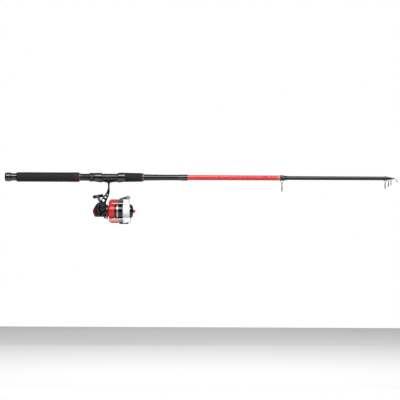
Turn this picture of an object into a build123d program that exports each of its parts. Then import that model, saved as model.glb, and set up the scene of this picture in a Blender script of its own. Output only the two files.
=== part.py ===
from build123d import *
import math
import os

os.makedirs("parts", exist_ok=True)

# A telescopic fishing rod with a spinning reel under its seat, in millimetres.
# +X runs from the butt to the tip, +Z is up and the reel hangs towards -Z.
# The origin is the centre of the butt cap's end face, on the rod's axis.

# ---- driving dimensions: the rod ----
GLUE_LINE = 0.05            # gap left between two pieces of one rigid body
RUN_FIT = 0.08              # radial clearance of a shaft in its hole
CAP_LENGTH = 21.0
CAP_R = 14.85
COLLAR_END = 38.5
BLANK_R = 10.5              # butt blank under the grips
BUTT_BORE = 8.6
BUTT_MOUTH = 603.0
REAR_GRIP_START = 38.8
REAR_GRIP_END = 246.0
GRIP_R = 15.65
SEAT_START = 248.4
SEAT_END = 396.8
SEAT_R = 11.85
SEAT_PITCH = 2.0
FORE_GRIP_END = 454.5
SECTION_TAPER_START = 462.0

# Each inner section: rear end, front end, rear and front radius, bore.
SECTIONS = {
    "blank_2": (338.0, 921.0, 8.45, 8.25, 6.75),
    "blank_3": (702.0, 1260.8, 6.6, 6.2, 4.6),
    "blank_4": (724.0, 1271.8, 4.48, 4.2, 3.1),
    "blank_5": (742.0, 1278.8, 3.0, 2.55, 1.75),
    "blank_tip": (760.0, 1284.5, 1.65, 1.15, 0.0),
}

# ---- driving dimensions: the reel ----
REEL_Z = -111.6             # height of the rotor and spool axis
FOOT_AXIS_Z = -2.4          # the foot's outer curve is centred below the seat's
FOOT_START = 302.0
FOOT_END = 392.5
FOOT_HALF_WIDTH = 9.2
CRANK_X = 324.0             # drive gear axis
CRANK_Z = -100.0
BODY_HALF_WIDTH = 16.0
CASE_FLOOR_Z = -130.8
PARTING_Y = -9.0            # the near cover meets the housing on this plane
FRONT_JOINT = 328.0         # and ends here, short of the round nose
SHAFT_R = 2.5
PINION_R = 4.0
FLANGE_START = 335.0
NOSE_END = 334.9
FLANGE_END = 341.0
ROTOR_START = 341.8
ROTOR_CUP_R = 24.8
CUP_END = 361.8             # a thinner neck goes on from here inside the spool's skirt
CUP_NECK_END = 375.0
ARM_OUTER_R = 37.6
ARM_INNER_R = 28.8
ARM_END = 391.0
ARM_HALF_ANGLE = 23.0
SKIRT_START = 363.5
SKIRT_END = 390.0
SKIRT_R = 24.6
ARBOR_R = 13.0
LINE_R = 22.3
LIP_START = 412.6
LIP_END = 422.6
LIP_R = 22.9
BAIL_X = 384.0              # bail pivots, on a line parallel to Z
CRANK_LENGTH = 42.0
CRANK_LEAN = 29.0           # degrees back from straight up
ARM_Y = 24.0                # middle of the crank arm at its hub
ARM_TIP_LOW = 40.0          # past the rotor arms' sweep, the crank arm runs between
ARM_TIP_HIGH = 44.4         # these two planes
KNOB_Y = 62.0               # middle of the knob's cross bar
DRIVE_TEETH = 47
PINION_TEETH = 9
LAYSHAFT_TEETH = 18
OSCILLATION_TEETH = 28
GEAR_MODULE = 0.8
STROKE = 12.0               # travel of the main shaft and spool
STROKE_BACK = 1.0           # the part of it that lies behind the place where the spool is drawn


# ---- ways of making a shape ----
def save(name, *solids):
    """Write one sub-part: its one solid, or its group of separate solids."""
    shape = solids[0] if len(solids) == 1 else Compound(list(solids))
    export_step(shape, "parts/" + name + ".step")


def turned(outline, axis_z=0.0):
    """Solid turned about a line parallel to X, from (x, radius) corners."""
    corners = [(x, 0, axis_z + radius) for x, radius in outline]
    return revolve(make_face(Polyline(*corners, close=True)), Axis((0, 0, axis_z), (1, 0, 0)), 360)


def pipe(start, end, outer, bore, axis_z=0.0):
    return turned([(start, bore), (end, bore), (end, outer), (start, outer)], axis_z)


def sleeve(start, end, outer, bore, edge, axis_z=0.0):
    """A pipe whose two outer edges are bevelled."""
    outline = [(start, bore), (end, bore), (end, outer - edge), (end - edge, outer)]
    return turned(outline + [(start + edge, outer), (start, outer - edge)], axis_z)


def bar(start, end, radius):
    """Round bar from one point to another."""
    line = Vector(*end) - Vector(*start)
    upright = Cylinder(radius, line.length, align=(Align.CENTER, Align.CENTER, Align.MIN))
    return Plane(origin=start, z_dir=line) * upright


def block(low, high):
    """Box between two opposite corners."""
    size = [b - a for a, b in zip(low, high)]
    middle = [(a + b) / 2 for a, b in zip(low, high)]
    return Pos(*middle) * Box(*size)


def side_plate(corners, low_y, high_y):
    """Flat plate with an (x, z) outline, between two values of y."""
    outline = Polyline(*[(x, 0, z) for x, z in corners], close=True)
    plate = extrude(make_face(outline), high_y - low_y, dir=(0, 1, 0))
    return Pos(0, low_y, 0) * plate


def across(x, z, radius, low_y, high_y):
    """Round bar along Y."""
    return bar((x, low_y, z), (x, high_y, z), radius)


def hoop(centre, normal, outer, inner, width, edge):
    """Ring with bevelled outer edges, standing square to its normal."""
    half = width / 2
    outline = [(inner, -half), (outer - edge, -half), (outer, edge - half)]
    outline += [(outer, half - edge), (outer - edge, half), (inner, half)]
    section = make_face(Polyline(*[(r, 0, h) for r, h in outline], close=True))
    return Plane(origin=centre, z_dir=normal) * revolve(section, Axis.Z, 360)


# ---- the butt: cap, collar, blank, grips ----
def make_butt():
    knob = turned([(0, 0), (CAP_LENGTH, 0), (CAP_LENGTH, CAP_R), (0, CAP_R)])
    knob = fillet(knob.edges().filter_by(GeomType.CIRCLE).sort_by(Axis.X)[0], 6.0)
    knob = fillet(knob.edges().filter_by(GeomType.CIRCLE).sort_by(Axis.X)[-1], 3.0)
    plug = bar((CAP_LENGTH - 1, 0, 0), (CAP_LENGTH + 9, 0, 0), BUTT_BORE - RUN_FIT)
    save("butt_cap", knob + plug)

    neck = [(CAP_LENGTH + 0.3, BLANK_R + GLUE_LINE), (COLLAR_END, BLANK_R + GLUE_LINE), (COLLAR_END, 12.6)]
    neck += [(COLLAR_END - 3, 12.6), (CAP_LENGTH + 6, 12.2), (CAP_LENGTH + 2, 12.9), (CAP_LENGTH + 0.3, 12.9)]
    save("butt_collar", turned(neck))

    tube = [(CAP_LENGTH + 0.5, BUTT_BORE), (BUTT_MOUTH, BUTT_BORE), (BUTT_MOUTH, 9.3), (529, 9.3)]
    tube += [(SECTION_TAPER_START, BLANK_R), (CAP_LENGTH + 0.5, BLANK_R)]
    save("butt_blank", turned(tube))

    wrap = [(572, 9.35), (BUTT_MOUTH, 9.35), (BUTT_MOUTH, 10.0), (BUTT_MOUTH - 1, 10.45)]
    wrap += [(590, 10.4), (580, 9.95), (574, 9.7), (572, 9.5)]
    save("butt_end_ferrule", turned(wrap))


def make_grips():
    bore = BLANK_R + GLUE_LINE
    rear = [(REAR_GRIP_START, bore), (REAR_GRIP_END, bore), (REAR_GRIP_END, 14.2), (REAR_GRIP_END - 4, 15.9)]
    rear += [(232, 16.0), (205, GRIP_R), (REAR_GRIP_START + 3, GRIP_R), (REAR_GRIP_START, 13.6)]
    save("rear_grip", turned(rear))

    fore = [(SEAT_END + 0.2, bore), (FORE_GRIP_END, bore), (FORE_GRIP_END, 12.9), (FORE_GRIP_END - 3, 14.4)]
    fore += [(430, 14.8), (SEAT_END + 4, 15.4), (SEAT_END + 0.2, 14.9)]
    save("fore_grip", turned(fore))
    rear_ring = sleeve(REAR_GRIP_END + 0.1, SEAT_START - 0.1, 13.4, bore, 0.5)
    fore_ring = sleeve(FORE_GRIP_END + 0.1, FORE_GRIP_END + 3.6, 13.0, bore, 0.6)
    save("grip_trim_rings", rear_ring, fore_ring)


# ---- the reel seat: threaded barrel, nut, sliding hood, fixed hood ----
def foot_shape(grow):
    """The reel foot's crescent along the barrel, grown a little to cut its pockets."""
    outline = [(FOOT_START - grow, 0), (FOOT_START - grow, 12.0 + grow), (322, 12.5 + grow)]
    outline += [(331, 14.2 + grow), (337, 15.6 + grow), (350, 15.6 + grow), (358, 14.0 + grow)]
    outline += [(372, 12.5 + grow), (FOOT_END + grow, 12.0 + grow), (FOOT_END + grow, 0)]
    crescent = turned(outline, FOOT_AXIS_Z)
    half = FOOT_HALF_WIDTH + grow
    trimmed = crescent & block((290, -half, -40), (410, half, -5.0 + grow))
    return trimmed - bar((280, 0, 0), (420, 0, 0), SEAT_R + GLUE_LINE - grow / 10)


def make_reel_seat():
    first_groove = 254.0
    groove_count = 34
    barrel = [(SEAT_START, BLANK_R + GLUE_LINE), (SEAT_END, BLANK_R + GLUE_LINE), (SEAT_END, SEAT_R)]
    for i in reversed(range(groove_count)):
        x = first_groove + i * SEAT_PITCH
        barrel += [(x + 0.75, SEAT_R), (x, SEAT_R - 0.5), (x - 0.75, SEAT_R)]
    barrel += [(SEAT_START, SEAT_R)]
    save("reel_seat_barrel", turned(barrel))

    nut = sleeve(279.0, 295.6, 14.4, SEAT_R + RUN_FIT, 1.2)
    for i in range(24):
        turn = math.radians(i * 15)
        y, z = 15.1 * math.cos(turn), 15.1 * math.sin(turn)
        nut -= bar((278, y, z), (297, y, z), 1.2)
    save("seat_nut", nut)

    ring = sleeve(296.0, 321.0, 14.9, 0, 1.4)
    cowl = turned([(298, 0), (321, 0), (321, 14.9), (312, 14.7), (302, 13.2), (298, 12.2)], FOOT_AXIS_Z)
    hood = ring + cowl - bar((290, 0, 0), (330, 0, 0), SEAT_R + RUN_FIT)
    save("sliding_hood", hood - hood_pocket(FOOT_START - 0.6, 322))

    crown = turned([(371.5, 0), (SEAT_END, 0), (SEAT_END, 15.6), (384, 16.0), (375, 15.4), (371.5, 13.4)])
    chin = turned([(371.5, 0), (394, 0), (394, 12.6), (384, 14.4), (371.5, 14.9)], FOOT_AXIS_Z)
    front = crown + chin - bar((365, 0, 0), (400, 0, 0), SEAT_R + GLUE_LINE)
    save("fixed_hood", front - hood_pocket(370, FOOT_END + 0.4))


def hood_pocket(start, end):
    """Space that a hood leaves for one end of the foot."""
    half = FOOT_HALF_WIDTH + 0.45
    return bar((start, 0, FOOT_AXIS_Z), (end, 0, FOOT_AXIS_Z), 13.0) & block((start, -half, -40), (end, half, -4.2))


# ---- the inner sections, their guide collars, frames and rings ----
def make_sections():
    for name, (rear, front, rear_r, front_r, bore) in SECTIONS.items():
        outline = [(rear, bore), (front, bore), (front, front_r), (rear + 60, rear_r), (rear, rear_r)]
        save(name, turned(outline))


def guide_frame(ring_x, ring_top, ring_bottom, leg_xs, wire, collar_r):
    """Hoop square to the rod on four wire legs that stand on the collar."""
    outer = (ring_bottom - ring_top) / 2
    centre = (ring_x, 0, -(ring_top + ring_bottom) / 2)
    frame = hoop(centre, (1, 0, 0), outer, outer - wire * 0.8, wire * 1.6, wire * 0.3)
    for x in leg_xs:
        for side in (-1, 1):
            foot = (x, side * wire, -(collar_r + 0.4))
            root = (ring_x, side * wire * 1.1, -(ring_top + wire * 0.5))
            frame += bar(foot, root, wire * 0.5)
    return frame


def guide_insert(ring_x, ring_top, ring_bottom, wire):
    outer = (ring_bottom - ring_top) / 2
    centre = (ring_x, 0, -(ring_top + ring_bottom) / 2)
    return hoop(centre, (1, 0, 0), outer - wire * 0.8 - GLUE_LINE, outer - wire * 1.9, wire * 2.0, wire * 0.2)


def make_guides():
    save("guide_2_collar", sleeve(908, 920.8, 9.15, 8.3, 0.6), sleeve(921.3, 930.8, 7.6, 6.85, 0.5))
    save("guide_2_frame", guide_frame(914.4, 19.6, 45.4, (910.5, 918.5), 1.6, 9.15))
    save("guide_2_ring", guide_insert(914.4, 19.6, 45.4, 1.6))

    save("guide_3_collar", sleeve(1250, 1260.6, 7.1, 6.25, 0.6))
    save("guide_3_frame", guide_frame(1255.0, 13.0, 35.0, (1251.5, 1259.5), 1.3, 7.1))
    save("guide_3_ring", guide_insert(1255.0, 13.0, 35.0, 1.3))

    collar = sleeve(1261.2, 1271.6, 5.0, 4.25, 0.6)
    save("guide_4_frame", guide_frame(1265.7, 12.4, 28.2, (1263, 1270.3), 1.1, 4.2) + collar)
    save("guide_4_ring", guide_insert(1265.7, 12.4, 28.2, 1.1))

    collar = sleeve(1272.2, 1278.6, 3.3, 2.65, 0.4)
    ring = guide_insert(1274.0, 9.0, 22.7, 1.0)
    save("guide_5_frame", guide_frame(1274.0, 9.3, 22.4, (1273.2, 1277.6), 1.0, 2.6) + collar + ring)


def make_tip_top():
    tube = sleeve(1279.2, 1286.0, 1.9, 1.2 + GLUE_LINE, 0.4)
    centre = (1293.2, 0, -8.4)
    lean = (0.86, 0, 0.51)
    seat = hoop(centre, lean, 5.6, 4.8, 1.4, 0.3)
    for side in (-1, 1):
        elbow = (1286.6, side * 1.7, -1.4)
        seat += bar((1281.5, side * 1.6, -1.6), elbow, 0.45)
        seat += bar(elbow, (1291.0, side * 3.6, -5.4), 0.45)
    save("tip_top_frame", tube + seat)
    save("tip_top_ring", hoop(centre, lean, 4.75, 3.7, 1.8, 0.2))


# ---- the reel's casing: housing with stem and foot, near cover, rear cap, trim ----
def body_shape(inset):
    """The gear case as one solid, or its hollow when it is set in by a wall."""
    i = inset
    rear = Spline((309 + i, 0, -84.5 - i), (302.5 + i, 0, -88.8 - i), (297.3 + i, 0, -97.5 - i / 2),
                  (292.0 + i, 0, -108), (292.5 + i, 0, -118), (296.8 + i, 0, -128.6 + i))
    front = Polyline((296.8 + i, 0, -128.6 + i), (299.2 + i, 0, CASE_FLOOR_Z + i), (NOSE_END - i, 0, CASE_FLOOR_Z + i),
                     (NOSE_END - i, 0, -90 - i), (331 - i, 0, -86.5 - i), (309 + i, 0, -84.5 - i))
    half = BODY_HALF_WIDTH - inset
    case = Pos(0, -half, 0) * extrude(make_face([rear, front]), 2 * half, dir=(0, 1, 0))
    if inset:
        return case
    sides = case.faces().filter_by(Axis.Y)
    return chamfer(sides[0].edges() + sides[-1].edges(), 3.5)


def stem_shape():
    """Curved stem from the foot to the case, pierced by three round holes."""
    left = Spline((337.5, 0, -14.5), (339.8, 0, -22), (339.4, 0, -40), (335.2, 0, -50.5),
                  (326.6, 0, -62), (320.2, 0, -72), (309.5, 0, -86))
    right = Spline((334.3, 0, -91), (335.2, 0, -80), (340.0, 0, -68), (344.4, 0, -56),
                   (345.9, 0, -40), (346.0, 0, -22), (349.5, 0, -14.5))
    ends = [Polyline((309.5, 0, -86), (312, 0, -87.6), (328, 0, -87.8), (334.3, 0, -91))]
    ends += [Line((349.5, 0, -14.5), (337.5, 0, -14.5))]
    half = 5.5
    stem = Pos(0, -half, 0) * extrude(make_face([left, right] + ends), 2 * half, dir=(0, 1, 0))
    for x, z, radius in ((338.2, -57.5, 1.9), (332.4, -66.0, 3.1), (325.6, -76.2, 4.3)):
        stem -= across(x, z, radius, -half - 1, half + 1)
    return stem


def make_casing():
    nose = turned([(322, 0), (NOSE_END, 0), (NOSE_END, 19.0), (328, 19.0), (322, 15)], REEL_Z)
    shell = body_shape(0) + nose
    hub = across(CRANK_X, CRANK_Z, 10.5, -BODY_HALF_WIDTH - 3.0, BODY_HALF_WIDTH + 3.0)
    shell += chamfer(hub.edges().filter_by(GeomType.CIRCLE), 1.2)
    shell -= body_shape(2.2) & block((290, -20, -140), (330.5, 20, -80))
    shell -= across(CRANK_X, CRANK_Z, 11.7, -BODY_HALF_WIDTH + 2.4, BODY_HALF_WIDTH - 2.4)
    shell -= bar((325, 0, REEL_Z), (345, 0, REEL_Z), 9.6)
    shell -= across(CRANK_X, CRANK_Z, 6.5 + GLUE_LINE, -BODY_HALF_WIDTH - 1.2, BODY_HALF_WIDTH + 1.2)
    shell -= across(CRANK_X, CRANK_Z, 3.9, -30, 30)
    far_side = block((270, PARTING_Y, -150), (360, 40, 0))
    near_side = block((270, -40, -150), (FRONT_JOINT - 0.15, PARTING_Y - 0.15, 0))

    rear_cut = side_plate([(280, -95.0), (301.0, -95.0), (304.2, -103), (303.9, -145), (280, -145)], -25, 25)
    lever_bore = bar((330, 0, -132.6), (330, 0, -125.6), 1.6 + RUN_FIT)
    front_half = block((FRONT_JOINT, -40, -150), (360, 40, 0))
    housing = (shell & (far_side + front_half)) - rear_cut - lever_bore
    housing += foot_shape(0)
    housing += stem_shape()
    save("reel_housing", housing)

    cover = (shell & near_side) - rear_cut - cover_screw_holes()
    ox, oz = layshaft_centre()
    save("side_cover", cover + across(ox, oz, 1.5, -14.2, -4.0))
    cap_edge = side_plate([(280, -95.3), (300.8, -95.3), (303.9, -103.1), (303.6, -145), (280, -145)], -25, 25)
    save("rear_cap", shell & cap_edge)


COVER_SCREWS = ((307.0, -92.6), (309.0, -124.4), (323.5, -124.4))


def cover_screw_holes():
    holes = [across(x, z, 1.35, -20, 0) for x, z in COVER_SCREWS]
    holes += [across(x, z, 2.3, -20, -14.6) for x, z in COVER_SCREWS]
    return Compound(holes)


def make_casing_trim():
    screws = []
    for x, z in COVER_SCREWS:
        head = across(x, z, 2.2, -15.9, -14.65)
        slot = block((x - 1.3, -16.5, z - 0.3), (x + 1.3, -15.2, z + 0.3))
        screws.append(head - slot + across(x, z, 1.25, -14.9, PARTING_Y - 0.3))
    save("body_screws", *screws)

    crescents = []
    for side in (-1, 1):
        low, high = sorted((side * (BODY_HALF_WIDTH + GLUE_LINE), side * (BODY_HALF_WIDTH + 0.9)))
        moon = across(327.5, -105, 22.5, low, high) - across(331.0, -103.6, 21.5, low - 1, high + 1)
        crescents.append(moon & block((300, -20, -118), (320, 20, -92)))
    save("side_trim", *crescents)

    flange = sleeve(FLANGE_START, FLANGE_END, 21.6, 14.0, 1.0, REEL_Z)
    save("front_flange", flange)


# ---- the gear train ----
def toothed(teeth, low_y, high_y, centre_x, centre_z, turn):
    """Spur gear about Y with straight-sided teeth cut shallow enough to run freely."""
    pitch_r = teeth * GEAR_MODULE / 2
    root_r = pitch_r - 0.9
    tip_r = pitch_r + 0.45
    gear = across(centre_x, centre_z, root_r, low_y, high_y)
    for i in range(teeth):
        angle = turn + 360 * i / teeth
        corners = []
        for radius, half_width in ((root_r - 0.2, 0.6), (tip_r, 0.26), (tip_r, -0.26), (root_r - 0.2, -0.6)):
            swing = math.radians(angle) + half_width / radius
            corners.append((centre_x + radius * math.cos(swing), centre_z + radius * math.sin(swing)))
        gear += side_plate(corners, low_y, high_y)
    return gear


def layshaft_centre():
    """Where the oscillation gear turns: down and back from the crank, at gear distance."""
    distance = GEAR_MODULE * (LAYSHAFT_TEETH + OSCILLATION_TEETH) / 2
    angle = math.radians(206.5)
    return CRANK_X + distance * math.cos(angle), CRANK_Z + distance * math.sin(angle)


def make_gears():
    face_y, back_y = 4.9, 8.2
    x, z = CRANK_X, CRANK_Z
    gear = across(x, z, 10.9, face_y + 0.3, back_y) + across(x, z, 3.8, -16.8, 30.0)
    for i in range(DRIVE_TEETH):
        angle = 2 * math.pi * i / DRIVE_TEETH
        inner = (x + 8.6 * math.cos(angle), face_y + 0.35, z + 8.6 * math.sin(angle))
        outer = (x + 10.8 * math.cos(angle), face_y + 0.35, z + 10.8 * math.sin(angle))
        gear += bar(inner, outer, 0.35)
    ox, oz = layshaft_centre()
    toward = math.degrees(math.atan2(oz - z, ox - x))
    gear += toothed(LAYSHAFT_TEETH, -7.4, -4.7, x, z, toward)
    save("drive_gear", gear)

    bearings = []
    for low, high in ((-17.1, -13.3), (13.3, 17.1)):
        bearings.append(across(x, z, 6.5, low, high) - across(x, z, 3.8 + RUN_FIT, low - 1, high + 1))
    bearings.append(pipe(336.4, 338.8, 8.9, PINION_R - 0.3 + RUN_FIT, REEL_Z))
    save("ball_bearings", *bearings)

    slider_x = ox - (STROKE / 2 - STROKE_BACK)      # with its travel centred on the gear
    pin_drop = math.sqrt((STROKE / 2) ** 2 - (slider_x - ox) ** 2)
    half_tooth = 180 / OSCILLATION_TEETH
    wheel = toothed(OSCILLATION_TEETH, -7.2, -4.9, ox, oz, toward + 180 + half_tooth)
    wheel += across(slider_x, oz - pin_drop, 1.2, -5.0, -3.3)
    wheel -= across(ox, oz, 1.5 + RUN_FIT, -10, 0)
    save("oscillation_gear", wheel)

    slider = block((slider_x - 2.4, -2.9, oz - 8.4), (slider_x + 2.4, 2.9, oz + 8.2))
    slider -= bar((slider_x - 6, 0, REEL_Z), (slider_x + 6, 0, REEL_Z), SHAFT_R + GLUE_LINE)
    slider -= block((slider_x - 1.4, -3.5, oz - 7.4), (slider_x + 1.4, -2.7, oz + 7.3))
    save("oscillation_slider", slider)


def make_shafts():
    save("main_shaft", bar((300.0, 0, REEL_Z), (421.5, 0, REEL_Z), SHAFT_R))

    neck_r = PINION_R - 0.3
    pinion = pipe(323.5, 352, neck_r, SHAFT_R + RUN_FIT, REEL_Z)
    for i in range(PINION_TEETH):
        turn = 2 * math.pi * (i + 0.5) / PINION_TEETH
        y, z = 3.5 * math.cos(turn), REEL_Z + 3.5 * math.sin(turn)
        pinion += bar((323.7, y, z), (332.0, y, z), 0.75)
    save("pinion_gear", pinion)
    save("one_way_clutch", pipe(336.2, 340.8, 13.9, 9.0, REEL_Z))


def make_lever():
    tongue = block((327, -2.6, -135.6), (340, 2.6, -133.6))
    tongue = fillet(tongue.edges().filter_by(Axis.Z), 2.2)
    boss = bar((330, 0, -133.7), (330, 0, -131.1), 2.6)
    knob = bar((337.4, 0, -137.0), (337.4, 0, -133.6), 3.2)
    save("anti_reverse_lever", tongue + boss + knob + bar((330, 0, -131.5), (330, 0, -126.2), 1.6))

# ---- the rotor, its arms and the bail ----
def arm_wedge(side, half_angle, inner_r, outer_r, start, end):
    """Block of a ring about the reel's axis, within an angle of straight up or down."""
    ring = pipe(start, end, outer_r, inner_r, REEL_Z)
    reach = outer_r + 5
    half = reach * math.tan(math.radians(half_angle))
    corners = [(0, 0), (-half, side * reach), (half, side * reach)]
    outline = Polyline(*[(start, y, REEL_Z + z) for y, z in corners], close=True)
    return ring & extrude(make_face(outline), end - start, dir=(1, 0, 0))


def make_rotor():
    cup = [(ROTOR_START, PINION_R + GLUE_LINE), (ROTOR_START, 16), (343.2, 21.0), (346.5, 24.0), (351, ROTOR_CUP_R)]
    cup += [(CUP_END, ROTOR_CUP_R), (CUP_END, 21.9), (CUP_NECK_END, 21.9), (CUP_NECK_END, 20.4), (351, 20.4)]
    cup += [(347.5, 18.5), (346.2, 15), (346.2, PINION_R + GLUE_LINE)]
    rotor = turned(cup, REEL_Z)
    for side in (-1, 1):
        arm = arm_wedge(side, ARM_HALF_ANGLE, ARM_INNER_R, ARM_OUTER_R, 343.5, ARM_END)
        arm -= arm_wedge(side, ARM_HALF_ANGLE - 4, ARM_INNER_R + 2, ARM_OUTER_R - 1.8, 354, ARM_END - 3)
        root = arm_wedge(side, ARM_HALF_ANGLE, 20.6, ARM_OUTER_R, 343.5, 352)
        bevel = turned([(343, 30), (343, 45), (352, 45)], REEL_Z)
        rotor += (arm + root) - bevel
        rotor -= bail_pin_hole(side)
    save("rotor", rotor)
    save("rotor_nut", hexagon_nut())

    covers = []
    for side in (-1, 1):
        plate = arm_wedge(side, ARM_HALF_ANGLE - 7, ARM_OUTER_R + GLUE_LINE, ARM_OUTER_R + 1.2, 350, 376)
        covers.append(plate)
    save("rotor_arm_covers", *covers)


def bail_pin_hole(side):
    z_inner = REEL_Z + side * (ARM_INNER_R - 1)
    z_outer = REEL_Z + side * (ARM_OUTER_R + 1)
    return bar((BAIL_X, 0, z_inner), (BAIL_X, 0, z_outer), 1.5 + RUN_FIT)


def hexagon_nut():
    section = Plane(origin=(346.4, 0, REEL_Z), z_dir=(1, 0, 0)) * RegularPolygon(6.5, 6)
    return extrude(section, 4.6) - bar((345, 0, REEL_Z), (353, 0, REEL_Z), PINION_R + GLUE_LINE)


ROLLER_X = 407.0
ROLLER_Z = -66.9
LEVER_END_X = 406.5
LEVER_END_Z = -150.4


def bail_point(reach, swing, z):
    """Point of the bail wire: its distance and angle from the pivot line, and its height."""
    angle = math.radians(swing)
    return (BAIL_X + reach * math.cos(angle), reach * math.sin(angle), z)


def bail_wire():
    """Bent wire from the roller's cup, round the far side of the spool, to the lower lever."""
    points = [(407.5, 4.3, ROLLER_Z - 0.2), bail_point(26, 25, -70), bail_point(36, 46, -77)]
    points += [bail_point(47, 57, -85), bail_point(56, 58.5, -92), bail_point(60, 60, -102)]
    points += [bail_point(60.5, 60, -112), bail_point(60, 60, -122), bail_point(55, 57, -134)]
    points += [bail_point(46, 50.5, -142), bail_point(37, 38, -147.5), bail_point(29, 16, LEVER_END_Z + 0.3)]
    points += [(LEVER_END_X - 2, 0.6, LEVER_END_Z)]
    route = FilletPolyline(*points, radius=4.0)
    return sweep(Plane(origin=route @ 0, z_dir=route % 0) * Circle(1.0), route)


def make_bail():
    top = REEL_Z + ARM_OUTER_R + 0.4
    low = REEL_Z - ARM_OUTER_R - 0.4
    arm = bar((BAIL_X, 0, top), (BAIL_X, 0, top + 4.2), 6.2)
    lever = [(379.5, top + 0.7), (379.5, top + 4.2), (394, -64.8), (406, -61.2), (406.5, -73.0), (391, -72.9)]
    arm += side_plate(lever, -5.4, -2.7)
    arm += across(ROLLER_X, ROLLER_Z, 6.5, -5.4, -2.7)
    arm -= across(ROLLER_X, ROLLER_Z, 1.5 + GLUE_LINE, -8, 0)
    arm += bar((BAIL_X, 0, REEL_Z + ARM_INNER_R + 1.0), (BAIL_X, 0, top + 1), 1.5)
    save("bail_arm", arm)

    cup = across(ROLLER_X, ROLLER_Z, 6.3, 2.7, 5.9)
    cup = chamfer(cup.edges().filter_by(GeomType.CIRCLE).sort_by(Axis.Y)[-1], 1.4)
    save("bail_wire", cup + bail_wire() - across(ROLLER_X, ROLLER_Z, 1.5 + GLUE_LINE, 0, 5.0))

    outline = [(-2.4, 1.5 + RUN_FIT), (-2.4, 4.9), (-1.2, 3.7), (1.2, 3.7), (2.4, 4.9), (2.4, 1.5 + RUN_FIT)]
    section = make_face(Polyline(*[(ROLLER_X + r, y, ROLLER_Z) for y, r in outline], close=True))
    save("line_roller", revolve(section, Axis((ROLLER_X, 0, ROLLER_Z), (0, 1, 0)), 360))

    head = across(ROLLER_X, ROLLER_Z, 4.4, -6.8, -5.45)
    head = chamfer(head.edges().filter_by(GeomType.CIRCLE).sort_by(Axis.Y)[0], 0.7)
    head -= block((ROLLER_X - 2.6, -7, ROLLER_Z - 0.4), (ROLLER_X + 2.6, -6.3, ROLLER_Z + 0.4))
    save("roller_screw", head + across(ROLLER_X, ROLLER_Z, 1.5, -5.6, 4.9))

    lower = bar((BAIL_X, 0, low), (BAIL_X, 0, low - 4.2), 6.0)
    lower += block((BAIL_X, -3.6, low - 4.2), (LEVER_END_X - 2, 3.6, low - 0.6))
    lower += bar((LEVER_END_X - 2, 0, low - 4.2), (LEVER_END_X - 2, 0, low + 1.0), 3.6)
    lower += bar((BAIL_X, 0, REEL_Z - ARM_INNER_R - 1.0), (BAIL_X, 0, low - 1), 1.5)
    save("bail_lever", lower - bail_wire())

    spring = Helix(pitch=1.0, height=2.4, radius=2.9)
    coil = sweep(Plane(origin=spring @ 0, z_dir=spring % 0) * Circle(0.35), spring)
    save("bail_spring", Pos(BAIL_X, 0, REEL_Z + 32.8) * coil)


# ---- the spool, its line, the drag ----
def make_spool():
    bore = SHAFT_R + RUN_FIT
    body = [(SKIRT_START, 22.4), (SKIRT_START, 24.0), (364.3, 24.8), (369.3, 24.8), (369.3, 23.4)]
    body += [(375.2, 23.4), (375.2, SKIRT_R), (SKIRT_END - 0.6, SKIRT_R), (SKIRT_END, 24.0), (SKIRT_END, ARBOR_R)]
    body += [(LIP_START, ARBOR_R), (LIP_START, 22.2), (413.4, LIP_R), (416.5, 22.6), (419.5, 21.0)]
    body += [(421.8, 18.6), (LIP_END, 16.5), (LIP_END, 11.7), (411.8, 11.7), (411.8, bore)]
    body += [(380, bore), (380, 6.0), (386.5, 6.0), (386.5, 22.4)]
    save("spool", turned(body, REEL_Z))
    save("spool_band", sleeve(369.4, 375.1, 24.9, 23.45, 0.3, REEL_Z))

    wound = [(SKIRT_END + 0.1, ARBOR_R + GLUE_LINE), (LIP_START - 0.1, ARBOR_R + GLUE_LINE)]
    wound += [(LIP_START - 0.1, LINE_R - 0.4), (401, LINE_R), (SKIRT_END + 0.1, LINE_R - 0.4)]
    save("line_winding", turned(wound, REEL_Z))

    washers = []
    for i in range(6):
        start = 412.0 + i * 0.9
        washers.append(pipe(start, start + 0.8, 11.4 - 0.5 * (i % 2), bore + 0.1, REEL_Z))
    save("drag_washers", *washers)


def make_drag_knob():
    bore = SHAFT_R + RUN_FIT
    disc = [(417.9, bore), (417.9, 11.2), (422.0, 11.2), (424.2, 9.0), (424.6, 6.0), (424.6, 0), (421.8, 0), (421.8, bore)]
    save("drag_knob", turned(disc, REEL_Z))
    grip = block((424.65, -9.0, REEL_Z - 4.6), (431.0, 9.0, REEL_Z + 4.6))
    grip = fillet(grip.edges().filter_by(Axis.X), 3.4)
    front = grip.faces().sort_by(Axis.X)[-1]
    save("drag_knob_grip", chamfer(front.edges(), 1.6))


# ---- the handle ----
def knob_centre():
    lean = math.radians(CRANK_LEAN)
    return CRANK_X - CRANK_LENGTH * math.sin(lean), CRANK_Z + CRANK_LENGTH * math.cos(lean)


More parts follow.
